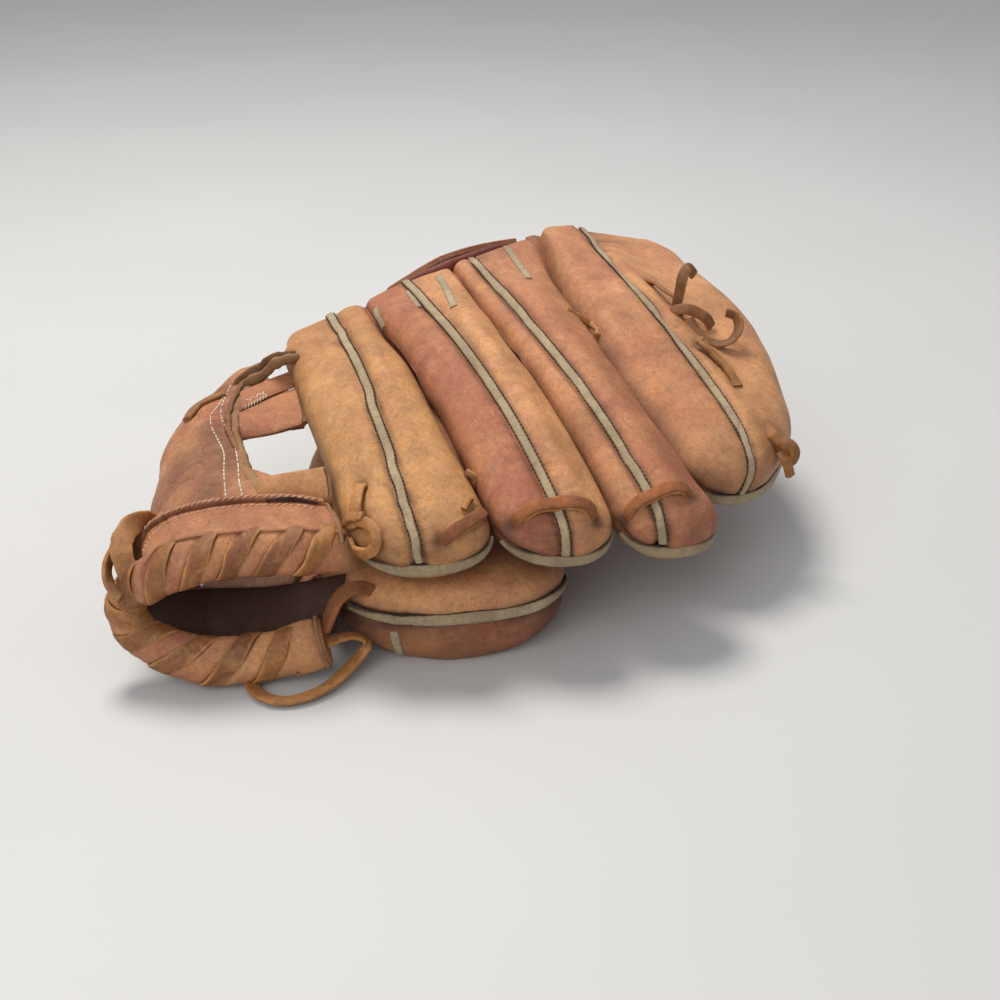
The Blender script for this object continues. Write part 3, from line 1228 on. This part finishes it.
# The rim's leather folded over and sewn to the web along a ridge
INDEX_STRAP = "web_front_strap_index_leather"
web_tree = surface_of("web_post_panel", INDEX_STRAP)
rim_tree = surface_of("web_rim_band")
seam_path, seam_normals = seen_on(web_tree, LINES["web_seam_ridge"], 110, 1.0)
crest_path, crest_normals = seen_on(rim_tree, LINES["web_rim_fold"], 110, 0.2)
sheet_over("web_rim_fold", seam_path, crest_path, unit(seam_normals + crest_normals), 2.2, BROWN,
           tone=0.75, bulge=1.2, across=36, seed=81)
lay("web_seam_ridge", surface_of("web_rim_fold", "web_post_panel", INDEX_STRAP), 3.6, 2.4, BROWN,
    low=-0.6, count=120, rough=0.1, tone=0.7, dirt=0.25, crown=0.3)
ridge_tree = surface_of("web_seam_ridge", "web_rim_fold", "web_post_panel", INDEX_STRAP)
BEND_END = 160          # left of this pixel column the seam climbs, and its stitches step aside
for name, aside, down in (("web_seam_stitches_upper", -2, -4), ("web_seam_stitches_lower", 3, 5)):
    pixels = [(x + aside * (x < BEND_END), y + down) for x, y in LINES["web_seam_ridge"]]
    stitches(name, *seen_on(ridge_tree, pixels, 140), pitch=2.8, length=2.5, thick=0.7, lean=25,
             material=SEAM_THREAD)
lay("web_seam_slit", ridge_tree, 1.8, 0.6, BINDING, low=-0.1, count=40, tone=1.0, dirt=1.0, taper=5)

# The upper cross piece's two folded strips, its raw end and its zigzag
CROSS_STEPS, CROSS_LIFT = 50, 3.5
cross_tree = surface_of("web_back_strap_index_leather")
cross = {name: [at_depth(row, [depth_at(cross_tree, *end) - CROSS_LIFT for end in (row[0], row[-1])],
                         CROSS_STEPS) for row in LINES[name]]
         for name in ("web_cross_upper", "web_cross_lower")}
to_eye = unit(EYE_MM - cross["web_cross_upper"][1][CROSS_STEPS // 2])
for name, thick, tone, bulge, seed in (("web_cross_upper", 2.2, 0.75, 0.8, 83),
                                       ("web_cross_lower", 2.6, 0.7, 2.6, 84)):
    sheet_over(name, *cross[name], to_eye, thick, BROWN, tone=tone, bulge=bulge, seed=seed)
lay("web_cross_raw_end", surface_of(*cross, "web_back_strap_index_leather"), 2.4, 3.0, SUEDE,
    low=-1.2, count=60, rough=0.25, tone=0.6, dirt=0.35, seed=6)
upper_tree = surface_of(*cross)
for name, length, lean in (("web_zigzag_lower", 2.2, 50), ("web_zigzag_upper", 2.0, -50)):
    stitches(name, *seen_on(upper_tree, LINES[name], 40), pitch=1.7, length=length, thick=0.5,
             lean=lean)

# The raw edge goes on from the web's corner to the index stall
near, far = depth_of(web_tree, "web_corner") - 1, depth_of(all_stalls, "index_corner") - 1
between = [mix(near, far, .4), mix(near, far, .7)]
lace_in_air("web_corner_edge", 0, [near, near - 2, *between, far, far + 3], 4.6, 4.2,
            material=SUEDE, rough=0.2, dirt=0.3, seed=12, count=120)
lace_in_air("web_corner_fold", 0, [near + 1, near - 1, *between, far + 4], 3.4, 3.0,
            material=SUEDE, rough=0.25, tone=0.9, dirt=0.4, seed=13, count=120)
lay("web_fold_lace", post_tree, 5.6, 1.8, LACE, count=50, rough=0.08, face_dirt=0.2, edge_tone=-0.4,
    seed=14)

# Front strip of the web over its strap, and the rim's raw ends
index_tree, thumb_tree = surfaces["index"], surfaces["thumb"]
near, far = depth_of(web_tree, "flap_left") - 1.5, depth_of(index_tree, "flap_right") - 1.0
upper, lower = (at_depth(row, [near - down, far - down], 50)
                for row, down in zip(LINES["web_front_flap"], (0, 1)))
facing = unit(np.cross(upper[-1] - upper[0], lower[0] - upper[0]))
facing = facing * np.sign(np.dot(facing, EYE_MM - upper[0]))
sheet_over("web_front_flap", upper, lower, facing, 2.6, BROWN, tone=0.1, bulge=1.0, seed=86)
lay("web_front_flap_end", surface_of("web_front_flap"), 1.4, 2.6, SUEDE, low=-1.4, count=40,
    rough=0.15, dirt=0.4, seed=9)
lay("web_rim_upper_end", surface_of("web_rim_fold", "web_rim_band"), 2.0, 2.4, SUEDE, low=-1.4,
    count=60, rough=0.15, dirt=0.3, seed=11)
RING = np.array([(-1, 0), (-.8, .8), (0, 1.1), (.8, .8), (1, 0), (.8, -.9), (0, -1), (-.8, -.9)])
MERGE = 1e-6            # in metres, as the mesh is


def rim_ring(name, t, width, thick, low, material, tone, around=72):
    """A closed ring of leather round the rim's band."""
    t, angle = np.full(around, t), np.linspace(0, 2 * np.pi, around, endpoint=False)
    path = around_rim(t, angle, low)
    out, ahead = unit(path - RIM(t)), unit(RIM(t[0] + 0.002) - RIM(t[0] - 0.002))
    rings = path[:, None] + ahead * (RING[:, :1] * width / 2) + out[:, None] * (RING[:, 1:] * thick / 2)
    rings = rings + out[:, None] * (0.25 * line_noise(angle * 12, 3, 5))[:, None, None]
    piece = loft(name, put_on_floor(np.concatenate([rings, rings[:1]])),
                 dict(tone=tone, dirt=0.2, proud=0.6), material, caps=False)
    tidy_mesh(piece, MERGE)
    finish(piece)


rim_ring("web_rim_cuff", 0.955, 11, 2.2, 0.1, BROWN, 0.0)
rim_ring("web_rim_cuff_edge", 0.992, 1.8, 2.8, 0.3, SUEDE, 0.5)

# Loops of lace beside the rim, the lace from the rim to the thumb, and the one on the floor
far = depth_of(rim_tree, "rim_left")
lace_in_air("web_side_loop_upper", far, [38, 22, 8, 1, -2, -3, 0], 8.6, turn=[25, -10, 5], seed=31,
            face_dirt=0.1)
lace_in_air("web_side_lace_under", far, [30, 16, 10, 8, 8], 6.4, turn=[30, 10], seed=34,
            material=ROUGH_LACE, dirt=0.5)
lace_in_air("web_side_lace_rawhide", far, [6, 3, 1, -2], turn=[40, 55, 20], seed=32, face_dirt=0.4,
            nodes=["web_side_lace"])
near, thumb_far = depth_of(rim_tree, "rim_low_end"), depth_of(thumb_tree, "thumb_side")
lace_in_air("thumb_side_lace", 0, [near + 5, mix(near, thumb_far, .6) - 3, thumb_far - 3,
                                   depth_of(thumb_tree, "thumb_lace_end") + 6], 5.6, 3.2,
            turn=[60, 20, 0], tone=0.4, seed=33, material=ROUGH_LACE)
FLOOR_LACE_HEIGHTS, FLOOR_LACE_STEPS = [1.2, 1.2, 1.2, 1.2, 2, 5, 10, 14, 17, 17], 120
path = at_height(LINES["floor_lace_rawhide"], FLOOR_LACE_HEIGHTS, FLOOR_LACE_STEPS)
side, outs = frame_along(path, np.array([[0, 0, 1.0]] * FLOOR_LACE_STEPS))
finish(strip("floor_lace_rawhide", path, side, outs, LACE_WIDTH, LACE_THICK, LACE,
             tone=0.4 + 0.4 * line_noise(np.arange(FLOOR_LACE_STEPS), 25, 8), rough=0.06, seed=8,
             edge_tone=-0.4, edge_dirt=0.0, dirt=0.15), "floor_lace")

# The pocket's leather inside the rim
left, right = depth_of(post_tree, "post_low"), thumb_far + 8
rows = [at_depth(row, depths, 60) for row, depths in zip(LINES["web_lower_panel"], (
    [left - 24, left - 6, left - 7, right - 2, right],
    [left - 26, left - 13, left - 14, right - 3, right - 2]))]
facing = unit(EYE_MM - rows[0][30])
rows[1] = put_on_floor(rows[1], 2.0)
sheet_over("web_lower_panel", *rows, facing, 2.6, POCKET, tone=0.7, dirt=0.4, bulge=1.5, seed=88)
rows = [at_depth(row, [left - 2, left - 4], 40) for row in LINES["web_inner_panel"]]
sheet_over("web_inner_panel", *rows, facing, 2.4, INNER, tone=0.3, dirt=0.0, bulge=1.0, seed=89)
lace_in_air("web_inner_edge", left, [-6, -6], 2.4, 2.4, material=SUEDE, rough=0.2, tone=0.3, count=40)

# Knots and lace ends on the fingers
little_tree = surface_of("little_stall", "little_welt")
lay("little_lace_start", little_tree, 4.2, 1.6, LACE, "little_knot_lace", lift=[-1.2, 1.6, 2.6, 4.0],
    count=60, rough=0.06, face_dirt=0.15, edge_dirt=0.2, seed=41)
lay("little_lace_tail", little_tree, 6.0, 2.2, LACE, lift=[3.0, 1.6, 0.4, 0.3, -1.4], count=70,
    rough=0.07, face_dirt=0.05, seed=42, tone=0.2)
far = depth_of(little_tree, "little_knot") - 5
lace_in_air("little_knot_loop_up", far, [1, -2, -4, -3, 0], turn=[10, 25, 35], face_dirt=0.55, seed=43)
lace_in_air("little_knot_wrap", far, [4, -3, -5, -3, 3], turn=[50, 10, 30], seed=44, face_dirt=0.3)
lace_in_air("little_knot_under", far, [-4, -4, -5, -4], 4.6, turn=[10, 30, 40], seed=45, face_dirt=0.3)
lace_in_air("little_knot_curl", far, [-5, -8, -9, -6, -3], turn=[20, 50, 70, 40, 25], seed=46,
            face_dirt=0.45)
far = depth_of(surfaces["little"], "little_tip")
lace_in_air("little_tip_tab", far, [2, -3, -3, -1], 5.0, turn=[10, 20], seed=47, face_dirt=0.2,
            nodes=["little_tip_lace"])
lace_in_air("little_tip_knot", far, [0, -4, -3, 0, 2], 5.0, 3.6, turn=[10, 40, 60], seed=48,
            face_dirt=0.4)
lace_in_air("little_tip_wrap", far, [-2, -3, -1, 2], 4.4, 2.6, turn=[10, 30], seed=49, face_dirt=0.2)
lay("index_left_tab", index_tree, 5.6, 1.6, LACE, "index_left_lace", lift=[0.6, 2.0, 2.4, 1.8],
    count=50, rough=0.06, tone=0.0, edge_dirt=0.25, seed=51)
lay("index_left_loop", index_tree, 4.6, 2.2, LACE, lift=[0.6, 1.6, 2.2, 2.4, 2.0, 1.0, 0.4], seed=53,
    tone=0.3, rough=0.07, edge_tone=-0.4, edge_dirt=0.0, face_dirt=0.15)
lay("index_left_band", index_tree, 3.8, 2.2, LACE, lift=[1.0, 4.0, 3.0], count=40, seed=52, tone=0.2,
    rough=0.06)
lay("index_edge_knob", index_tree, 3.4, 2.4, LACE, lift=[0.2, 1.6, -0.2], count=30, rough=0.1,
    tone=0.0, seed=56)
lay("index_right_knob", index_tree, 2.6, 1.8, LACE, lift=[0.3, 1.0, -0.4], count=30, rough=0.1,
    tone=0.0, seed=54)
start, middle, end = (depth_of(all_stalls, "ring_valley_" + part) for part in ("start", "middle", "end"))
lace_in_air("ring_valley_lace", 0, [start - 1, middle - 3, end - 1], 3.4, tone=0.0, face_dirt=0,
            turn=[0, 30], seed=55)
lay("thumb_lower_welt", thumb_tree, 3.8, 1.6, WELT, low=-0.9, count=40, rough=0.1, tone=0.4, dirt=0.2,
    crown=0.1)

# Floor and light
FLOOR_HALF = 6000       # half its side
pale = bpy.data.materials.new("pale_floor")
corners = [(x * FLOOR_HALF, y * FLOOR_HALF, 0) for x, y in ((-1, -1), (1, -1), (1, 1), (-1, 1))]
floor = make("floor", corners, [(0, 1, 2, 3)], {}, pale)
add = nodes_of(pale)
ramp = add("ValToRGB", {"Fac": add("TexNoise", {"Scale": 60}).outputs["Fac"]})
ramp.color_ramp.elements[0].color = srgb(190, 188, 185)
ramp.color_ramp.elements[1].color = srgb(197, 195, 192)
shader = add("BsdfPrincipled", {"Base Color": ramp.outputs["Color"], "Roughness": 0.6})
add("OutputMaterial", {"Surface": shader.outputs[0]})

world = bpy.data.worlds.new("world")
bpy.context.scene.world = world
world.use_nodes = True
sky = world.node_tree.nodes["Background"].inputs
sky["Color"].default_value, sky["Strength"].default_value = (0.92, 0.95, 1.0, 1), 0.5


def lamp(name, where, to, size, power, colour):
    """A round soft light at a place in metres, turned to another."""
    light = bpy.data.lights.new(name, "AREA")
    light.shape, light.size, light.energy, light.color = "DISK", size, power, colour
    obj = bpy.data.objects.new(name, light)
    obj.location = where
    obj.rotation_euler = (Vector(to) - Vector(where)).to_track_quat("-Z", "Y").to_euler()
    bpy.context.collection.objects.link(obj)


bpy.context.scene.view_settings.view_transform = "Standard"
lamp("key", (-0.1, 0.45, 1.35), (0, 0, 0.05), 0.55, 18, (1, 0.985, 0.96))
lamp("fill", (-0.9, -0.9, 0.9), (0, 0, 0.05), 1.2, 9, (0.97, 0.98, 1))
